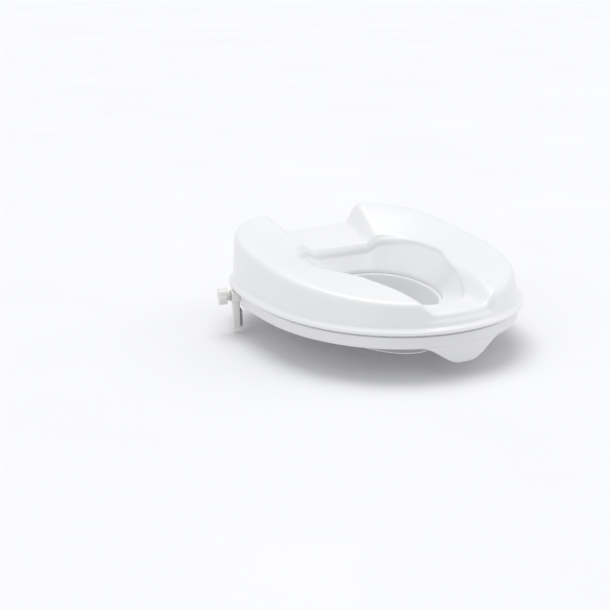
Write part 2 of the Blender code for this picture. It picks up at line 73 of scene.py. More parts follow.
# The recesses in the seat's top
FRONT_FLOOR_Z = 22 * MM
FRONT_EDGE = (80 * MM, 57 * MM)     # half the front recess's width, at its back and its front
FRONT_EDGE_Y = (46 * MM, 178 * MM)  # how far before the middle those two widths are
FRONT_SLOPE = 22 * MM               # width of its sloping sides
FRONT_SINK_Y = (45 * MM, 135 * MM)  # where it sinks in, before the middle
REAR_FLOOR_Z = 33 * MM
REAR_FLOOR_RISE = 13 * MM           # what the rear recess's floor climbs to its back edge
REAR_FLOOR_Y = 105 * MM             # where that climb begins
REAR_FLOOR_RUN = 95 * MM
REAR_DISH = 4 * MM                  # what the floor climbs towards the horns
REAR_DISH_HALF = 68 * MM
REAR_FLOOR_HALF = (36 * MM, 57 * MM)    # half the floor's width, at its front and its back
REAR_EDGE_HALF = (61 * MM, 79 * MM)     # half the width at the horns' tops, likewise
REAR_EDGE_Y = (85 * MM, 190 * MM)       # where those widths are
REAR_SINK_Y = (50 * MM, 105 * MM)       # where the recess sinks in

# Aperture, funnel and splash collar
APERTURE_RIM_Z = 45 * MM
APERTURE_Y = 10 * MM
APERTURE_HALF = 96 * MM
APERTURE_FRONT = 168 * MM
APERTURE_REAR = 96 * MM
APERTURE_POWERS = (2.5, 2.7)
APERTURE_EDGE = 5 * MM              # size of the rounding at its edge
KEYHOLE_PINCH = 0.26                # how much narrower the aperture grows towards its front
KEYHOLE_Y = (-15 * MM, 85 * MM)
MOUTH_HALF = 70 * MM
MOUTH_FRONT = 118 * MM
MOUTH_REAR = 84 * MM
MOUTH_POWERS = (2.0, 2.3)
COLLAR_TOP = -1.5 * MM
COLLAR_WALL = 2.5 * MM
FUNNEL_CLEARANCE = 0.05 * MM        # from the funnel's foot to the collar

# Base ring
BASE_DEPTH = 20 * MM
SKIRT_INSET = 8 * MM
SKIRT_STEPBACK = 14 * MM            # how much further in the skirt stands behind the clamps
MOUTH_INSET = 1.7 * MM              # the base's inner wall, from the mouth's outline
LIP_HALF_WIDTH = 60 * MM
LIP_HALF_FLAT = 8 * MM
LIP_DEPTH = 43 * MM
LIP_STEPS = 72

# Pads and screws
PAD_SIZE = (40 * MM, 16 * MM, 2.7 * MM)
PAD_INSET = 40 * MM
PAD_ANGLES = {"rear_right": 46, "rear_left": 134, "front_left": 226, "front_right": 314}
PAD_RIB_PITCH = 2 * MM
SCREW_HOLE_RADIUS = 2.05 * MM
SCREW_RADIUS = 1.75 * MM
SCREW_THREAD = (0.45 * MM, 1.4 * MM)    # depth and pitch

# Clamps, each in a frame of its own: u outward along the spindle, v across it, w up
CLAMP_Y = JOINTS["right_knob_turn"]["pos_m"][1]
BORE_RADIUS = 4.3 * MM
SPINDLE_RADIUS = 4 * MM
SPINDLE_THREAD = (0.8 * MM, 3 * MM)
NOTCH = ((-17 * MM, -11.5 * MM, -22 * MM), (20 * MM, 11.5 * MM, 7.5 * MM))
HEAD = ((-2 * MM, -10 * MM, -6.5 * MM), (11 * MM, 10 * MM, 6.5 * MM))
SEAM = ((-0.8 * MM, -5.5 * MM, -8 * MM), (9.8 * MM, 5.5 * MM, -7.2 * MM))
POST = ((-0.4 * MM, -5 * MM, -45 * MM), (9.4 * MM, 5 * MM, -5.5 * MM))
FOOT = ((-3.9 * MM, -6 * MM, -46.5 * MM), (10 * MM, 6 * MM, -42.5 * MM))
JAW_PAD_SIZE = (12 * MM, 22 * MM, 2.7 * MM)
JAW_PAD_PLACE = (-0.7 * MM, -30.5 * MM)     # u of its back and w of its middle
JAW_RIB_PITCH = 2.2 * MM
KNOB_LOBES = 8
KNOB_LOBE_DEPTH = 0.8 * MM
KNOB_BORE = (8 * MM, 26.3 * MM)
KNOB_STEPS = 128
WASHER_RADIUS = 8 * MM
WASHER_U = (11.3 * MM, 12.3 * MM)
CLIP_U = (-3.5 * MM, -2.3 * MM)
CLIP_RADIUS = 5.7 * MM
CLIP_EAR = 0.5 * MM
NUT_U = (-39.7 * MM, -33.2 * MM)
NUT_HALF = 6.5 * MM                 # half the width across its flats
GUIDE_U = (-40 * MM, -19 * MM)
GUIDE_HALF_WIDTH = 13 * MM
GUIDE_POCKET_HALF = 6.8 * MM
GUIDE_POCKET_END = -32.9 * MM
GUIDE_SCREW_U = -24.5 * MM
GUIDE_SCREW_SPREAD = 9 * MM

# Studio
FLOOR_RADIUS = 60
FLOOR_Z = -0.5 * MM
VIEW_AZIMUTH = radians(31.2)
VIEW_ELEVATION = radians(16.1)
VIEW_CENTRE = Vector((0, 3.6 * MM, 60 * MM))
VIEW_DISTANCE = 1.8
VIEW_LENS = 77.6656
VIEW_SHIFT = (-0.12, -0.027541)


# ---------------------------------------------------------------- shapes in plan and height

def smooth_step(value, low, high):
    u = min(max((value - low) / (high - low), 0), 1)
    return u * u * (3 - 2 * u)


def mix(a, b, share):
    return a + (b - a) * share


def share_between(value, low, high):
    return min(max((value - low) / (high - low), 0), 1)


def angles(steps):
    return [2 * pi * i / steps for i in range(steps)]


def egg(angle, half, front, rear, powers, centre_y):
    """A superellipse with its own depth and power in front and behind."""
    c, s = cos(angle), sin(angle)
    depth = rear if s > 0 else front
    power = powers[1] if s > 0 else powers[0]
    reach = (abs(c) ** power + abs(s) ** power) ** (-1 / power)
    return half * c * reach, centre_y + depth * s * reach


def flange_outline(angle, inset):
    """The seat's plan outline, a given distance in from the flange's edge."""
    front = HALF_LENGTH + WAIST_Y - inset
    rear = HALF_LENGTH - WAIST_Y - inset
    powers = (FRONT_POWER, REAR_POWER + REAR_SQUARING * inset)
    return egg(angle, HALF_WIDTH - inset, front, rear, powers, WAIST_Y)


def aperture_outline(angle, grow=0.0):
    """The keyhole-shaped edge of the aperture in the seat's top."""
    x, y = egg(angle, APERTURE_HALF + grow, APERTURE_FRONT + grow, APERTURE_REAR + grow,
               APERTURE_POWERS, APERTURE_Y)
    return x * (1 - KEYHOLE_PINCH * smooth_step(-y, *KEYHOLE_Y)), y


def mouth_outline(angle, grow=0.0):
    """The oval mouth at the foot of the funnel, and the collar below it."""
    return egg(angle, MOUTH_HALF + grow, MOUTH_FRONT + grow, MOUTH_REAR + grow, MOUTH_POWERS,
               WAIST_Y)


def skirt_outline(angle, step, groove=0.0):
    """The skirt's face, which stands further in behind the clamps and in its groove."""
    y = flange_outline(angle, SKIRT_INSET)[1]
    behind = smooth_step(y, CLAMP_Y + 14 * MM, CLAMP_Y + 26 * MM)
    return flange_outline(angle, SKIRT_INSET + groove + step * behind)


def side_height(y):
    """The seat's top edge along its sides: it climbs to the rear horns."""
    return SIDE_Z + SIDE_SLOPE * y + HORN_CURVE * max(y - HORN_Y, 0) ** 2


def seat_height(x, y, inward):
    """Top of the seat, where inward runs from 0 at its outer edge to 1 at the aperture."""
    height = mix(side_height(y), APERTURE_RIM_Z, inward ** 1.5)
    edge = mix(*FRONT_EDGE, share_between(-y, *FRONT_EDGE_Y))
    front = 1 - smooth_step(abs(x), edge - FRONT_SLOPE, edge)
    front *= smooth_step(-y, *FRONT_SINK_Y)
    back = share_between(y, *REAR_EDGE_Y)
    rear = 1 - smooth_step(abs(x), mix(*REAR_FLOOR_HALF, back), mix(*REAR_EDGE_HALF, back))
    rear *= smooth_step(y, *REAR_SINK_Y)
    climb = min(max((y - REAR_FLOOR_Y) / REAR_FLOOR_RUN, -0.5), 1)
    floor_z = REAR_FLOOR_Z + REAR_FLOOR_RISE * climb
    floor_z += REAR_DISH * share_between(abs(x), 0, REAR_DISH_HALF) ** 2
    height = mix(height, FRONT_FLOOR_Z, front)
    return mix(height, floor_z, rear)


# ---------------------------------------------------------------- mesh helpers

def finish_mesh(name, bm, mat, sharp=38):
    mesh = bpy.data.meshes.new(name)
    bm.to_mesh(mesh)
    bm.free()
    mesh.shade_smooth()
    mesh.set_sharp_from_angle(angle=radians(sharp))
    if mat:
        mesh.materials.append(mat)
    obj = bpy.data.objects.new(name, mesh)
    bpy.context.scene.collection.objects.link(obj)
    return obj


def loft(bm, rows, caps=False):
    """Faces through closed rings of points."""
    rings = [[bm.verts.new(point) for point in row] for row in rows]
    for one, two in zip(rings, rings[1:]):
        for i in range(len(one)):
            j = (i + 1) % len(one)
            bm.faces.new((one[i], one[j], two[j], two[i]))
    if caps:
        bm.faces.new(list(reversed(rings[0])))
        bm.faces.new(rings[-1])


def lofted(name, rows, mat, caps=True, sharp=38):
    bm = bmesh.new()
    loft(bm, rows, caps)
    if caps:
        bmesh.ops.recalc_face_normals(bm, faces=bm.faces)
    return finish_mesh(name, bm, mat, sharp)


def closed_ring(name, rows, mat):
    """A body whose last ring lies on its first, such as a washer's."""
    bm = bmesh.new()
    loft(bm, rows)
    bmesh.ops.remove_doubles(bm, verts=bm.verts, dist=0.01 * MM)
    bmesh.ops.recalc_face_normals(bm, faces=bm.faces)
    return finish_mesh(name, bm, mat)


def thicken(obj, thickness):
    solid = obj.modifiers.new("wall", "SOLIDIFY")
    solid.thickness = thickness
    solid.offset = -1
    solid.use_even_offset = True


def apply_modifiers(obj):
    graph = bpy.context.evaluated_depsgraph_get()
    obj.data = bpy.data.meshes.new_from_object(obj.evaluated_get(graph))
    obj.modifiers.clear()


def cut(obj, cutters):
    """Take shapes out of a piece, and remove them afterwards."""
    group = bpy.data.collections.new(f"{obj.name}_cuts")
    bpy.context.scene.collection.children.link(group)
    for cutter in cutters:
        group.objects.link(cutter)
    boolean = obj.modifiers.new("cuts", "BOOLEAN")
    boolean.operation = "DIFFERENCE"
    boolean.solver = "EXACT"
    boolean.operand_type = "COLLECTION"
    boolean.collection = group
    apply_modifiers(obj)
    for cutter in cutters:
        bpy.data.objects.remove(cutter, do_unlink=True)
    bpy.data.collections.remove(group)


def join(obj, others, sharp=38):
    """Put other pieces' meshes, as they stand, into this one's."""
    bm = bmesh.new()
    bm.from_mesh(obj.data)
    for other in others:
        mesh = other.data.copy()
        mesh.transform(other.matrix_basis)
        bm.from_mesh(mesh)
        bpy.data.meshes.remove(mesh)
        bpy.data.objects.remove(other, do_unlink=True)
    bm.to_mesh(obj.data)
    bm.free()
    obj.data.set_sharp_from_angle(angle=radians(sharp))


def rounded_box(name, corners, radius, mat=None, segments=4):
    low, high = corners
    bm = bmesh.new()
    bmesh.ops.create_cube(bm, size=1)
    bmesh.ops.scale(bm, vec=[high[i] - low[i] for i in range(3)], verts=bm.verts)
    bmesh.ops.translate(bm, vec=[(high[i] + low[i]) / 2 for i in range(3)], verts=bm.verts)
    bmesh.ops.bevel(bm, geom=bm.edges, offset=radius, segments=segments, profile=0.5,
                    affect="EDGES")
    return finish_mesh(name, bm, mat)


def around_u(profile, sides, wave=None):
    """Rings round the u axis from (u, radius) points. wave(angle, row) changes the radius."""
    rows = []
    for index, (u, radius) in enumerate(profile):
        row = []
        for a in angles(sides):
            r = radius + (wave(a, index) if wave else 0)
            row.append((u, r * cos(a), r * sin(a)))
        rows.append(row)
    return rows


def around_z(profile, sides):
    """Rings round the z axis from (z, radius) points."""
    return [[(r * cos(a), r * sin(a), z) for a in angles(sides)] for z, r in profile]


def in_mm(points):
    return [(a * MM, b * MM) for a, b in points]


def thread_rows(start, end, crest, thread, sides, axis):
    """Rings of a screw thread that fades out at both of its ends."""
    depth, pitch = thread
    per_turn = 8
    count = int((end - start) / pitch * per_turn)
    rows = []
    for k in range(count + 1):
        along = mix(start, end, k / count)
        fade = min((along - start) / pitch, (end - along) / pitch, 1)
        row = []
        for a in angles(sides):
            phase = (along / pitch - a / (2 * pi)) % 1
            r = crest - depth * fade * smooth_step(abs(2 * phase - 1), 0.15, 0.85)
            across = (r * cos(a), r * sin(a))
            row.append((along, *across) if axis == "u" else (*across, along))
        rows.append(row)
    return rows


# ---------------------------------------------------------------- materials

def node_material(name, metallic=0.0, coat=0.0, specular=0.5):
    mat = bpy.data.materials.new(name)
    mat.use_nodes = True
    shader = mat.node_tree.nodes["Principled BSDF"]
    shader.inputs["Metallic"].default_value = metallic
    shader.inputs["Coat Weight"].default_value = coat
    shader.inputs["Coat Roughness"].default_value = 0.12
    shader.inputs["Specular IOR Level"].default_value = specular
    return mat, mat.node_tree, shader


def noise(tree, scale, detail, stretch=(1, 1, 1)):
    place = tree.nodes.new("ShaderNodeTexCoord")
    mapping = tree.nodes.new("ShaderNodeMapping")
    mapping.inputs["Scale"].default_value = stretch
    texture = tree.nodes.new("ShaderNodeTexNoise")
    texture.inputs["Scale"].default_value = scale
    texture.inputs["Detail"].default_value = detail
    tree.links.new(place.outputs["Object"], mapping.inputs["Vector"])
    tree.links.new(mapping.outputs["Vector"], texture.inputs["Vector"])
    return texture.outputs["Fac"]


def shade_between(tree, factor, dark, light, target):
    ramp = tree.nodes.new("ShaderNodeValToRGB")
    ramp.color_ramp.elements[0].position = 0.3
    ramp.color_ramp.elements[0].color = (*dark, 1)
    ramp.color_ramp.elements[1].position = 0.7
    ramp.color_ramp.elements[1].color = (*light, 1)
    tree.links.new(factor, ramp.inputs["Fac"])
    tree.links.new(ramp.outputs["Color"], target)


def range_between(tree, factor, low, high, target):
    scaled = tree.nodes.new("ShaderNodeMapRange")
    scaled.inputs["From Min"].default_value = 0.3
    scaled.inputs["From Max"].default_value = 0.7
    scaled.inputs["To Min"].default_value = low
    scaled.inputs["To Max"].default_value = high
    tree.links.new(factor, scaled.inputs["Value"])
    tree.links.new(scaled.outputs["Result"], target)


def relief(tree, heights, target):
    """Bumps one on another from (noise, strength, depth in metres)."""
    last = None
    for factor, strength, depth in heights:
        bump = tree.nodes.new("ShaderNodeBump")
        bump.inputs["Strength"].default_value = strength
        bump.inputs["Distance"].default_value = depth
        tree.links.new(factor, bump.inputs["Height"])
        if last:
            tree.links.new(last.outputs["Normal"], bump.inputs["Normal"])
        last = bump
    tree.links.new(last.outputs["Normal"], target)


def plastic(name, dark, light, gloss, grain, coat=0.0, cloud=5):
    """Moulded plastic: faint clouding, an uneven sheen and a fine moulded grain."""
    mat, tree, shader = node_material(name, coat=coat)
    shade_between(tree, noise(tree, cloud, 3), dark, light, shader.inputs["Base Color"])
    range_between(tree, noise(tree, 38, 4), *gloss, shader.inputs["Roughness"])
    relief(tree, ((noise(tree, 30, 1), 0.05, 0.2 * MM), (noise(tree, 700, 2), grain, 0.02 * MM)),
           shader.inputs["Normal"])
    return mat


def rubber(name, dark, light):
    mat, tree, shader = node_material(name, specular=0.35)
    shade_between(tree, noise(tree, 160, 5), dark, light, shader.inputs["Base Color"])
    range_between(tree, noise(tree, 300, 3), 0.68, 0.9, shader.inputs["Roughness"])
    relief(tree, ((noise(tree, 900, 4), 0.35, 0.12 * MM),), shader.inputs["Normal"])
    return mat


def plated_steel(name, stretch):
    """Zinc-plated steel, drawn along the axis that has the smallest stretch."""
    mat, tree, shader = node_material(name, metallic=1.0)
    shade_between(tree, noise(tree, 260, 5, stretch), (0.47, 0.48, 0.50), (0.70, 0.70, 0.69),
                  shader.inputs["Base Color"])
    range_between(tree, noise(tree, 500, 4, stretch), 0.22, 0.42, shader.inputs["Roughness"])
    relief(tree, ((noise(tree, 1500, 3, stretch), 0.18, 0.04 * MM),), shader.inputs["Normal"])
    return mat


MATS = {
    "seat": plastic("seat_white", (0.845, 0.848, 0.853), (0.868, 0.868, 0.868), (0.29, 0.35),
                    0.01, coat=0.05),
    "collar": plastic("collar_white", (0.80, 0.805, 0.815), (0.84, 0.842, 0.845), (0.28, 0.38),
                      0.10),
    "base": plastic("base_white", (0.80, 0.80, 0.812), (0.835, 0.835, 0.842), (0.36, 0.48), 0.22),
    "clamp_plastic": plastic("clamp_ivory", (0.825, 0.81, 0.79), (0.87, 0.857, 0.84),
                             (0.38, 0.52), 0.30, cloud=40),
    "nylon": plastic("nylon_natural", (0.66, 0.64, 0.58), (0.73, 0.71, 0.65), (0.42, 0.56), 0.25,
                     cloud=60),
    "pad_rubber": rubber("pad_rubber_grey", (0.33, 0.33, 0.34), (0.43, 0.43, 0.44)),
    "jaw_rubber": rubber("jaw_rubber_dark", (0.31, 0.31, 0.32), (0.39, 0.39, 0.40)),
    "screw_steel": plated_steel("zinc_screw", (1, 1, 0.15)),
    "spindle_steel": plated_steel("zinc_spindle", (0.15, 1, 1)),
}


def stand_for(obj, nodes, body):
    """Let a piece stand for its CAD node, riding on the same body."""
    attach(obj, body)
    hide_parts(*nodes)


# ---------------------------------------------------------------- seat

def flange_and_wall(angle):
    """Points from the flange's foot, round its edge and up the wall to the seat's top."""
    points = []
    for inset, z in in_mm(((0.8, 0), (0.15, 0.5), (0, 1.2), (0.15, 2.1), (0.6, 3.1), (1.4, 4.0),
                           (2.6, 4.8), (4.0, 5.3), (5.6, 5.8), (7.0, 6.5), (8.0, 7.6),
                           (8.7, 9.2), (9.2, 11))):
        points.append((*flange_outline(angle, inset), z))
    top = seat_height(*flange_outline(angle, TOP_INSET), 0)
    scale = min(1, 0.6 * (top - WALL_FOOT_Z) / SHOULDER)
    for inset, share in ((9.9, 0.2), (10.7, 0.42), (11.5, 0.64), (12.3, 0.84)):
        z = mix(WALL_FOOT_Z, top - SHOULDER * scale, share)
        points.append((*flange_outline(angle, inset * MM), z))
    for inset, drop in in_mm(((13, 9), (13.6, 6.7), (14.5, 4.6), (15.8, 2.8), (17.6, 1.4),
                              (19.8, 0.5), (22, 0.12))):
        x, y = flange_outline(angle, inset)
        points.append((x, y, seat_height(x, y, 0) - drop * scale))
    return points


def top_and_funnel(angle):
    """Points over the seat's top, round the aperture's edge and down the funnel."""
    points = []
    outer = flange_outline(angle, TOP_INSET)
    inner = aperture_outline(angle, APERTURE_EDGE)
    for k in range(25):
        inward = 0.96 * k / 24
        x, y = mix(outer[0], inner[0], inward), mix(outer[1], inner[1], inward)
        points.append((x, y, seat_height(x, y, inward)))
    soft = 1 + 1.2 * smooth_step(aperture_outline(angle)[1], 60 * MM, 95 * MM)
    for grow, drop in in_mm(((3.4, 0.35), (1.9, 1.2), (0.8, 2.5), (0.2, 3.8), (0, 5))):
        x, y = aperture_outline(angle, grow * soft)
        points.append((x, y, seat_height(x, y, 1) - drop * soft))
    x, y, z = points[-1]
    foot = mouth_outline(angle)
    foot_z = COLLAR_TOP + FUNNEL_CLEARANCE
    bend_z = foot_z + 4 * MM
    for k in range(1, 13):
        share = k / 12
        points.append((mix(x, foot[0], share), mix(y, foot[1], share), mix(z, bend_z, share)))
    points.append((*foot, foot_z + 1.5 * MM))
    points.append((*foot, foot_z))
    return points


def seat_shell():
    sections = [flange_and_wall(a) + top_and_funnel(a) for a in angles(SEAT_STEPS)]
    rows = [[(p[0], p[1], p[2] + FLANGE_Z) for p in row] for row in zip(*sections)]
    seat = lofted("seat_shell_v", rows, MATS["seat"], caps=False, sharp=60)
    thicken(seat, WALL)
    apply_modifiers(seat)
    stand_for(seat, ("seat_shell",), "seat")


def splash_collar():
    """The collar with the ledge that catches the light at the funnel's foot."""
    profile = ((4, -1.5), (1, -1.5), (-2.6, -1.5), (-3.7, -1.65), (-4.5, -2.2), (-4.9, -3.0),
               (-5.1, -6), (-5.7, -18), (-6.5, -30), (-7.2, -42), (-7.8, -52), (-8, -56),
               (-8, -59.4), (-7.7, -60))
    rows = []
    for grow, z in in_mm(profile):
        rows.append([(*mouth_outline(a, grow), FLANGE_Z + z) for a in angles(SEAT_STEPS)])
    collar = lofted("splash_collar_v", rows, MATS["collar"], caps=False, sharp=60)
    thicken(collar, COLLAR_WALL)
    apply_modifiers(collar)
    stand_for(collar, ("splash_collar",), "seat")


# ---------------------------------------------------------------- base ring

def front_y(x, inset):
    """Where the seat's front outline is at a distance x from the middle."""
    share = abs(x) / (HALF_WIDTH - inset)
    reach = (1 - share ** FRONT_POWER) ** (1 / FRONT_POWER)
    return WAIST_Y - (HALF_LENGTH + WAIST_Y - inset) * reach


def front_lip():
    """The lip over the bowl's front, with a rolled edge and a faint step at its top."""
    rows = []
    for i in range(LIP_STEPS + 1):
        x = mix(-LIP_HALF_WIDTH, LIP_HALF_WIDTH, i / LIP_STEPS)
        slope = smooth_step(abs(x), LIP_HALF_FLAT, LIP_HALF_WIDTH)
        foot = FLANGE_Z + mix(-LIP_DEPTH, -BASE_DEPTH + 0.4 * MM, slope)
        top = FLANGE_Z - BASE_DEPTH + 1.5 * MM
        roll = min(1.2 * MM, (top - foot) * 0.4)
        face = front_y(x, SKIRT_INSET - 0.3 * MM)
        back = front_y(x, SKIRT_INSET - 0.3 * MM + WALL)
        row = [(x, face, top)]
        for k in range(7):
            turn = pi * k / 6
            row.append((x, mix(face, back, (1 - cos(turn)) / 2), foot + roll * (1 - sin(turn))))
        row.append((x, back, top))
        rows.append(row)
    return lofted("front_lip_v", rows, MATS["base"])


def node_middle(node):
    low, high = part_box(node)
    return [(low[i] + high[i]) / 2 for i in range(3)]


def screw_nodes():
    return [n for n in sorted(frame["nodes"]) if "_screw_" in n]


def countersink_cutter(node):
    profile = in_mm(((-2, 3.9), (0.3, 3.9), (2.3, 2.05), (6, 2.05)))
    cutter = lofted(f"hole_{node}", around_z(profile, 32), None)
    x, y, _ = node_middle(node)
    cutter.location = (x, y, FLANGE_Z - BASE_DEPTH)
    return cutter


def notch_cutter(side):
    notch = rounded_box(f"notch_{side}", NOTCH, 1.2 * MM)
    notch.matrix_world = clamp_frame(side)
    return notch


def skirt_rows():
    """Rings down the skirt, from its groove under the flange. share is of the step back."""
    rows = []
    for share, groove, z in ((0, 2.4, 1.6), (0, 2.4, -3), (0.25, 2.4, -3.9), (1, 0.5, -4.6),
                             (1, 0, -5.1), (1, 0, -9), (1, 0, -14), (1, 0, -18.6)):
        step = SKIRT_STEPBACK * share
        rows.append([(*skirt_outline(a, step, groove * MM), FLANGE_Z + z * MM)
                     for a in angles(SEAT_STEPS)])
    return rows


def underside_rows():
    """Rings across the underside and up the inner wall. inward is 1 at that wall."""
    rows = []
    for inward, z in ((0.004, -19.3), (0.010, -19.8), (0.018, -20), (0.3, -20), (0.6, -20),
                      (0.97, -20), (0.985, -19.8), (1, -19.2), (1, -12), (1, -4.4)):
        ring = []
        for a in angles(SEAT_STEPS):
            outer = skirt_outline(a, SKIRT_STEPBACK)
            inner = mouth_outline(a, -MOUTH_INSET)
            ring.append((mix(outer[0], inner[0], inward), mix(outer[1], inner[1], inward),
                         FLANGE_Z + z * MM))
        rows.append(ring)
    return rows


def base_ring():
    rows = skirt_rows() + underside_rows()
    rows.reverse()
    base = lofted("base_ring_v", rows, MATS["base"], caps=False, sharp=50)
    thicken(base, WALL)
    cutters = [countersink_cutter(node) for node in screw_nodes()]
    cutters += [notch_cutter(side) for side in SIDES]
    bpy.context.view_layer.update()
    cut(base, cutters)
    join(base, [front_lip()])
    stand_for(base, ("base_ring",), "seat")


# ---------------------------------------------------------------- pads and screws

def ribbed_pad(name, size, pitch, mat):
    """A rubber pad with ribs along it. Its back is at z 0 and its ribs point down."""
    length, width, depth = size
    edge = 1.0 * MM
    groove = 0.45 * MM
    across = 64
    ends = []
    for k in range(7):
        turn = pi / 2 * k / 6
        ends.append((-length / 2 + edge * (1 - cos(turn)), edge * (1 - sin(turn))))
    ends += [(-x, inset) for x, inset in reversed(ends)]
    sections = []
    for x, inset in ends:
        half = width / 2 - inset
        row = [(x, -half, 0)]
        for i in range(across + 1):
            share = i / across
            y = mix(-half, half, share)
            side = min(share, 1 - share) * 2 * half
            rise = edge * (1 - smooth_step(side, 0, edge) ** 0.5)
            rib = groove * (0.5 - 0.5 * cos(2 * pi * y / pitch)) * smooth_step(side, 0, edge)
            row.append((x, y, -depth + inset + rise + rib * smooth_step(edge - inset, 0, edge)))
        row.append((x, half, 0))
        sections.append(row)
    return lofted(name, sections, mat, sharp=55)


def anti_slip_pads():
    """The pads under the base, each lying along the outline."""
    for place, degrees in sorted(PAD_ANGLES.items()):
        node = f"pad_{place}"
        x, y, _ = node_middle(node)
        here = flange_outline(radians(degrees), PAD_INSET)
        ahead = flange_outline(radians(degrees + 3), PAD_INSET)
        pad = ribbed_pad(f"{node}_v", PAD_SIZE, PAD_RIB_PITCH, MATS["pad_rubber"])
        pad.location = (x, y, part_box(node)[1][2])
        pad.rotation_euler.z = atan2(ahead[1] - here[1], ahead[0] - here[0])
        stand_for(pad, (node,), "seat")


def cross_recess(name):
    """Cutters for a screw head's cross-shaped drive, which narrows as it goes in."""
    long, narrow = 2.1 * MM, 0.45 * MM
    bars = []
    for k in range(2):
        rows = []
        for z, scale in ((-1, 1), (0.1, 1), (1.5, 0.45)):
            x, y = long * scale, narrow * (0.5 + scale / 2)
            if k:
                x, y = y, x
            rows.append([(-x, -y, z * MM), (x, -y, z * MM), (x, y, z * MM), (-x, y, z * MM)])
        bars.append(lofted(f"{name}_{k}", rows, None))
    return bars


def screws():
    """Countersunk screws with a cross recess, a thread and a point."""
    head = in_mm(((0.1, 0.01), (0.1, 3.45), (0.2, 3.6), (0.4, 3.6), (1.3, 2.7), (2.2, 1.75),
                  (3.0, 1.75)))
    for node in screw_nodes():
        x, y, _ = node_middle(node)
        low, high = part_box(node)
        length = high[2] - low[2] + 0.1 * MM
        rows = around_z(head, 28)
        rows += thread_rows(3.2 * MM, length - 2 * MM, SCREW_RADIUS, SCREW_THREAD, 28, "z")
        rows += around_z(((length - 0.6 * MM, 0.7 * MM), (length, 0.05 * MM)), 28)
        screw = lofted(f"{node}_v", rows, MATS["screw_steel"])
        cut(screw, cross_recess(node))
        screw.location = (x, y, low[2] - 0.1 * MM)
        stand_for(screw, (node,), "seat")


# ---------------------------------------------------------------- clamps

def clamp_frame(side):
    """Where a clamp's own frame stands."""
    joint = JOINTS[f"{side}_knob_turn"]
    outward = -Vector(joint["axis"])
    turn = Matrix.Rotation(atan2(outward.y, outward.x), 4, "Z")
    return Matrix.Translation(joint["pos_m"]) @ turn


def clamp_piece(obj, side, kind, body):
    """Stand a piece that was made in the clamp's own frame, for the node of its kind."""
    obj.matrix_world = clamp_frame(side)
    stand_for(obj, (f"{kind}_{side}",), body)


def bore_cutter(name, radius, start, end, sides=40):
    return lofted(name, around_u(((start, radius), (end, radius)), sides), None)


def clamp_arm(side):
    """The head on the spindle, a seam under it, and the post with its hooked foot."""
    mat = MATS["clamp_plastic"]
    arm = rounded_box(f"clamp_arm_{side}_v", HEAD, 1.2 * MM, mat)
    cut(arm, [bore_cutter("arm_bore", BORE_RADIUS, HEAD[0][0] - 3 * MM, HEAD[1][0] + 4 * MM)])
    post = rounded_box("post", POST, 1.1 * MM, mat)
    foot = rounded_box("foot", FOOT, 1.3 * MM, mat)
    seam = rounded_box("seam", SEAM, 0.3 * MM, mat)
    join(arm, [post, foot, seam])
    clamp_piece(arm, side, "clamp_arm", f"{side}_arm")


def jaw_pad(side):
    """The ribbed pad on the post's inner face, its ribs lying level."""
    pad = ribbed_pad(f"jaw_pad_{side}_v", JAW_PAD_SIZE, JAW_RIB_PITCH, MATS["jaw_rubber"])
    u, w = JAW_PAD_PLACE
    pad.data.transform(Matrix(((0, 0, 1, u), (1, 0, 0, 0), (0, 1, 0, w), (0, 0, 0, 1))))
    clamp_piece(pad, side, "jaw_pad", f"{side}_arm")


def knob_profile():
    """(u, radius) points from the neck, over the rounded rim and into the dished face."""
    profile = [(12.6, 6.0), (12.8, 6.2), (16.4, 6.2), (16.6, 6.5), (16.6, 8.8)]
    turns = [pi / 2 * k / 6 for k in range(7)]
    profile += [(16.6 + 1.6 * (1 - cos(turn)), 9.6 + 1.6 * sin(turn)) for turn in turns]
    profile += [(26.8 + 1.8 * sin(turn), 9.4 + 1.8 * cos(turn)) for turn in turns]
    profile += [(28.6, 8.2), (28.4, 7.6), (27.8, 7.2), (27.7, 6), (27.7, 2), (27.7, 0.05)]
    return in_mm(profile)


def knob(side):
    """A fluted knob with rounded lobes, a short neck and a shallow dished face."""
    profile = knob_profile()

    def flute(angle, row):
        share = smooth_step(profile[row][1], 8.0 * MM, 10.6 * MM)
        wave = (0.5 + 0.5 * cos(KNOB_LOBES * angle)) ** 0.6
        return KNOB_LOBE_DEPTH * share * (2 * wave - 1)

    obj = lofted(f"knob_{side}_v", around_u(profile, KNOB_STEPS, flute), MATS["clamp_plastic"],
                 sharp=50)
    cut(obj, [bore_cutter("knob_bore", BORE_RADIUS, *KNOB_BORE)])
    clamp_piece(obj, side, "knob", f"{side}_screw")


def spindle(side):
    """The rod with its thread, and a plain end inside the knob."""
    rows = around_u(in_mm(((-54, 0.05), (-54, 3.1), (-53.3, 3.7))), 32)
    rows += thread_rows(-53 * MM, 10.5 * MM, SPINDLE_RADIUS, SPINDLE_THREAD, 32, "u")
    rows += around_u(in_mm(((10.8, 4), (25.6, 4), (26, 3.6), (26, 0.05))), 32)
    obj = lofted(f"spindle_{side}_v", rows, MATS["spindle_steel"], sharp=50)
    clamp_piece(obj, side, "spindle", f"{side}_screw")


def thrust_washer(side):
    """A washer with softened edges."""
    start, end = WASHER_U
    edge = 0.2 * MM
    rows = around_u(((start, BORE_RADIUS), (start, WASHER_RADIUS - edge),
                     (start + edge, WASHER_RADIUS), (end - edge, WASHER_RADIUS),
                     (end, WASHER_RADIUS - edge), (end, BORE_RADIUS), (start, BORE_RADIUS)), 40)
    obj = closed_ring(f"thrust_washer_{side}_v", rows, MATS["nylon"])
    clamp_piece(obj, side, "thrust_washer", f"{side}_screw")


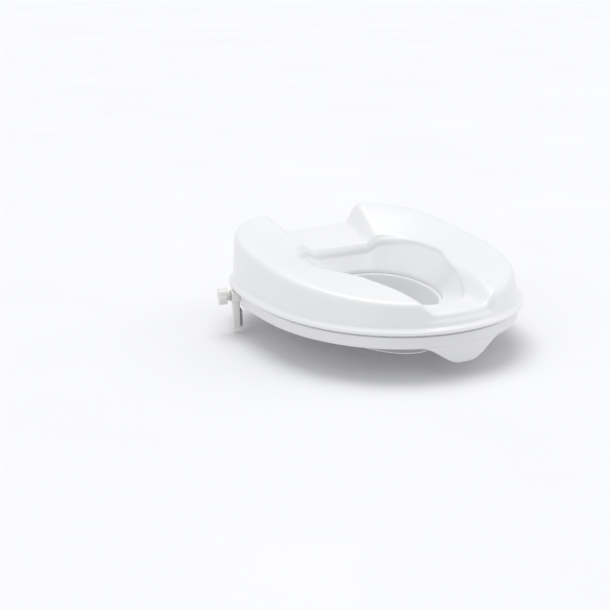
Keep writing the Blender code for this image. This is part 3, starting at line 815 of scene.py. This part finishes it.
def retaining_clip(side):
    """A spring clip, open on one side, with a small ear at each end."""
    start, end = CLIP_U
    edge = 0.2 * MM
    steps = 44
    rows = []
    for k in range(steps + 1):
        a = radians(mix(28, 332, k / steps))
        outer = CLIP_RADIUS + CLIP_EAR * smooth_step(abs(k / steps - 0.5), 0.42, 0.49)
        corners = ((start, BORE_RADIUS), (start, outer - edge), (start + edge, outer),
                   (end - edge, outer), (end, outer - edge), (end, BORE_RADIUS))
        rows.append([(u, r * cos(a), r * sin(a)) for u, r in corners])
    obj = lofted(f"retaining_clip_{side}_v", rows, MATS["spindle_steel"])
    clamp_piece(obj, side, "retaining_clip", f"{side}_screw")


def hexagon_ring(u, limit):
    """A ring of the nut, whose corners are turned down to a radius."""
    row = []
    for a in angles(72):
        off_flat = (a + pi / 6) % (pi / 3) - pi / 6
        r = min(NUT_HALF / cos(off_flat), limit)
        row.append((u, r * cos(a), r * sin(a)))
    return row


def captive_nut(side):
    """A hexagon nut whose corners are turned down at both faces."""
    start, end = NUT_U
    face, turned, full = 6.55 * MM, 7.1 * MM, 8 * MM
    step = 0.35 * MM
    rows = [hexagon_ring(u, limit) for u, limit in (
        (start, BORE_RADIUS), (start, face), (start + step, turned), (start + 2 * step, full),
        (end - 2 * step, full), (end - step, turned), (end, face), (end, BORE_RADIUS),
        (start, BORE_RADIUS))]
    obj = closed_ring(f"captive_nut_{side}_v", rows, MATS["spindle_steel"])
    obj.data.transform(Matrix.Rotation(pi / 6, 4, "X"))
    clamp_piece(obj, side, "captive_nut", "seat")


def guide_block(side):
    """The block that holds the nut, with soft edges, its bore and its hexagon pocket."""
    node_low, node_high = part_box(f"guide_block_{side}")
    low = node_low[2] - FLANGE_Z - SPINDLE_Z
    high = node_high[2] - FLANGE_Z - SPINDLE_Z
    corners = ((GUIDE_U[0], -GUIDE_HALF_WIDTH, low), (GUIDE_U[1], GUIDE_HALF_WIDTH, high))
    obj = rounded_box(f"guide_block_{side}_v", corners, 0.8 * MM, MATS["nylon"], segments=3)
    outside = GUIDE_U[0] - 5 * MM
    cutters = [bore_cutter("guide_bore", BORE_RADIUS, outside, GUIDE_U[1] + 5 * MM),
               bore_cutter("guide_pocket", GUIDE_POCKET_HALF / cos(pi / 6), outside,
                           GUIDE_POCKET_END, 6)]
    for v in (-GUIDE_SCREW_SPREAD, GUIDE_SCREW_SPREAD):
        rows = around_z(((low - 2 * MM, SCREW_HOLE_RADIUS), (low + 10 * MM, SCREW_HOLE_RADIUS)),
                        24)
        hole = lofted("guide_hole", rows, None)
        hole.location = (GUIDE_SCREW_U, v, 0)
        cutters.append(hole)
    bpy.context.view_layer.update()
    cut(obj, cutters)
    clamp_piece(obj, side, "guide_block", "seat")


# ---------------------------------------------------------------- studio

def floor():
    bm = bmesh.new()
    bmesh.ops.create_circle(bm, cap_ends=True, segments=96, radius=FLOOR_RADIUS)
    mat, tree, shader = node_material("pale_floor", specular=0.2)
    shade_between(tree, noise(tree, 3, 2), (0.845, 0.845, 0.85), (0.865, 0.865, 0.87),
                  shader.inputs["Base Color"])
    shader.inputs["Roughness"].default_value = 0.9
    obj = finish_mesh("floor", bm, mat)
    obj.location.z = FLOOR_Z


def soft_light(name, towards, strength, spread):
    """A broad far-off light that stands in a direction."""
    data = bpy.data.lights.new(name, "SUN")
    data.energy = strength
    data.angle = radians(spread)
    lamp = bpy.data.objects.new(name, data)
    bpy.context.scene.collection.objects.link(lamp)
    lamp.rotation_euler = Vector(towards).to_track_quat("Z", "Y").to_euler()


def studio():
    world = bpy.data.worlds.new("studio")
    world.use_nodes = True
    back = world.node_tree.nodes["Background"]
    back.inputs["Color"].default_value = (0.97, 0.98, 1.0, 1)
    back.inputs["Strength"].default_value = 0.64
    bpy.context.scene.world = world
    soft_light("top", (0.1, 0.3, 1), 1.38, 45)
    soft_light("right", (1.0, -0.35, 0.45), 0.45, 50)
    soft_light("left", (-1.0, -0.1, 0.2), 0.42, 60)
    bpy.context.scene.view_settings.view_transform = "Standard"


def camera():
    """A view from the left of the front and a little above."""
    back = Vector((-sin(VIEW_AZIMUTH) * cos(VIEW_ELEVATION),
                   -cos(VIEW_AZIMUTH) * cos(VIEW_ELEVATION), sin(VIEW_ELEVATION)))
    data = bpy.data.cameras.new("camera")
    data.lens = VIEW_LENS
    data.shift_x, data.shift_y = VIEW_SHIFT
    obj = bpy.data.objects.new("camera", data)
    bpy.context.scene.collection.objects.link(obj)
    obj.location = VIEW_CENTRE + VIEW_DISTANCE * back
    obj.rotation_euler = (-back).to_track_quat("-Z", "Y").to_euler()
    bpy.context.scene.camera = obj


seat_shell()
splash_collar()
base_ring()
anti_slip_pads()
screws()
for side in SIDES:
    clamp_arm(side)
    jaw_pad(side)
    knob(side)
    spindle(side)
    thrust_washer(side)
    retaining_clip(side)
    captive_nut(side)
    guide_block(side)
floor()
studio()
camera()
